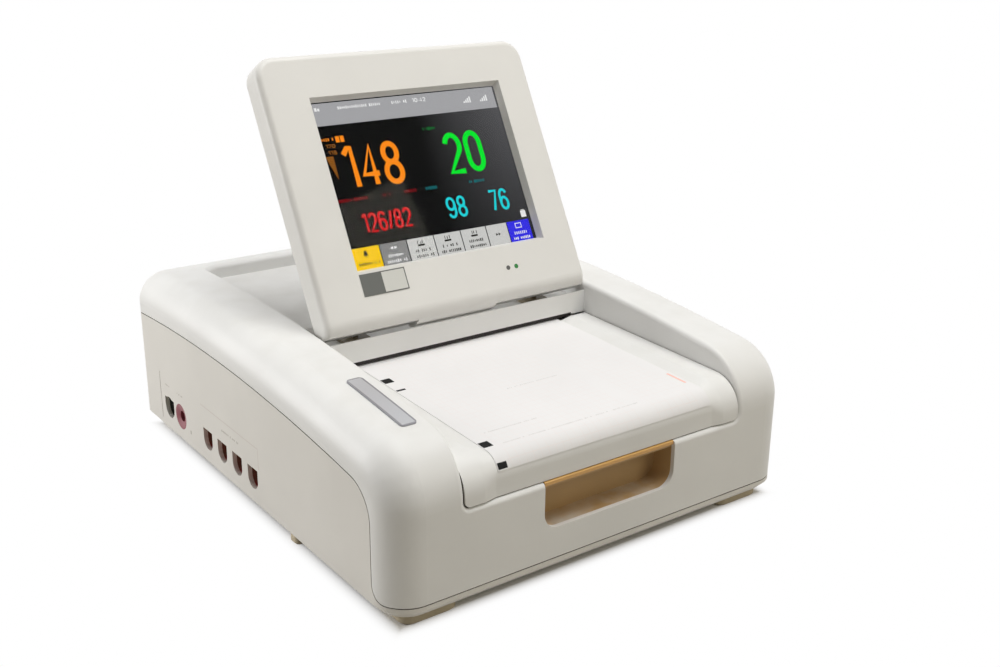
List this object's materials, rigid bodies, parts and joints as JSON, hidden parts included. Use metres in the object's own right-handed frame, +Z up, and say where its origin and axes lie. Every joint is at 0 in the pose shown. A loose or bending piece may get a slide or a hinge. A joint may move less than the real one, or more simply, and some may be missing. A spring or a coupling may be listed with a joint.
{
  "type": "fetal monitor",
  "caption": "Table-top fetal monitor: low rounded case with sockets in its side, a lifting chart paper table over a thermal printer, and a tilting touch display that folds flat.",
  "frame": {"origin": "centre of the body's outline on the surface that the feet stand on", "axes": "+X to the user's right, +Y from the front to the rear, +Z up"},
  "size_m": [0.286, 0.335, 0.2631],
  "materials": {
    "ivory_shell": "satin moulded plastic",
    "ivory_cover": "satin moulded plastic",
    "display_shell": "satin moulded plastic",
    "taupe_rubber": "matte rubber",
    "tan_plastic": "matte moulded plastic",
    "amber_plastic": "smooth moulded plastic",
    "crimson_plastic": "moulded plastic",
    "rose_plastic": "moulded plastic",
    "dark_plastic": "moulded plastic",
    "tub_plastic": "moulded plastic",
    "gear_plastic": "smooth moulded plastic",
    "roller_rubber": "ground rubber",
    "hose_rubber": "smooth hose",
    "steel": "plated steel",
    "sheet_steel": "zinc plated sheet",
    "alloy": "extruded alloy",
    "brass": "turned brass",
    "badge_metal": "satin plate",
    "plate_grey": "printed film",
    "board_green": "coated board",
    "supply_case": "folded case",
    "ceramic_head": "ceramic strip",
    "paper": "thermal chart paper",
    "clear_glass": "smooth glass",
    "screen_black": "screen face",
    "lamp_grey": "clear lens",
    "lamp_green": "lit lens"
  },
  "bodies": {
    "body": {"bottom_housing": "ivory_shell", "top_cover": "ivory_cover", "well_plate": "ivory_cover", "rear_panel": "sheet_steel", "rubber_feet": "taupe_rubber", "housing_screws": "steel", "mount_inserts": "brass", "badge_plate": "badge_metal", "paper_well": "tub_plastic", "paper_pack": "paper", "paper_web": "paper", "finger_pocket": "tan_plastic", "release_springs": "steel", "print_frame": "sheet_steel", "paper_guide": "dark_plastic", "print_head": "ceramic_head", "head_sink": "alloy", "head_springs": "steel", "roller_bushes": "gear_plastic", "motor_plate": "sheet_steel", "feed_motor": "steel", "main_board": "board_green", "power_supply": "supply_case", "loudspeaker": "dark_plastic", "air_pump": "dark_plastic", "air_hose": "hose_rubber", "socket_board": "board_green", "probe_sockets": "crimson_plastic", "pulse_socket": "dark_plastic", "pressure_port": "rose_plastic", "mains_inlet": "dark_plastic", "mains_pins": "brass", "rocker_frame": "dark_plastic", "ground_stud": "brass", "slot_covers": "sheet_steel", "hinge_brackets": "steel", "hinge_washers": "gear_plastic"},
    "display": {"display_bezel": "display_shell", "display_back": "display_shell", "touch_glass": "clear_glass", "screen_panel": "screen_black", "screen_bracket": "sheet_steel", "display_board": "board_green", "display_screws": "steel", "lamp_standby": "lamp_grey", "lamp_power": "lamp_green", "front_plate": "plate_grey", "hinge_pins": "steel"},
    "table": {"paper_table": "ivory_cover", "table_pins": "steel", "chart_paper": "paper"},
    "release": {"release_bar": "amber_plastic"},
    "roller": {"platen_sleeve": "roller_rubber", "roller_shaft": "steel", "roller_gear": "gear_plastic"},
    "pinion": {"motor_pinion": "brass", "motor_shaft": "steel"},
    "rocker": {"power_rocker": "dark_plastic"}
  },
  "joints": [
    {"name": "display_tilt", "type": "hinge", "parent": "body", "child": "display", "pos_m": [0, -0.001, 0.11], "axis": [1, 0, 0], "range_deg": [-61.43, 5]},
    {"name": "table_lift", "type": "hinge", "parent": "body", "child": "table", "pos_m": [0, -0.028, 0.0845], "axis": [-1, 0, 0], "range_deg": [0, 60]},
    {"name": "release_press", "type": "slide", "parent": "body", "child": "release", "axis": [0, 1, 0], "range_m": [0, 0.0025], "stiffness_N_per_m": 400, "springref_m": -0.002, "deforming": ["release_springs"]},
    {"name": "roller_turn", "type": "hinge", "parent": "body", "child": "roller", "pos_m": [0, -0.011, 0.0805], "axis": [1, 0, 0], "continuous": true},
    {"name": "pinion_turn", "type": "hinge", "parent": "body", "child": "pinion", "pos_m": [0.0935, 0.00069, 0.07375], "axis": [1, 0, 0], "continuous": true},
    {"name": "rocker_flip", "type": "hinge", "parent": "body", "child": "rocker", "pos_m": [0.052, 0.1492, 0.046], "axis": [1, 0, 0], "range_deg": [-14, 0]}
  ],
  "couplings": [
    {"joint": "pinion_turn", "follows": "roller_turn", "ratio": -2}
  ]
}
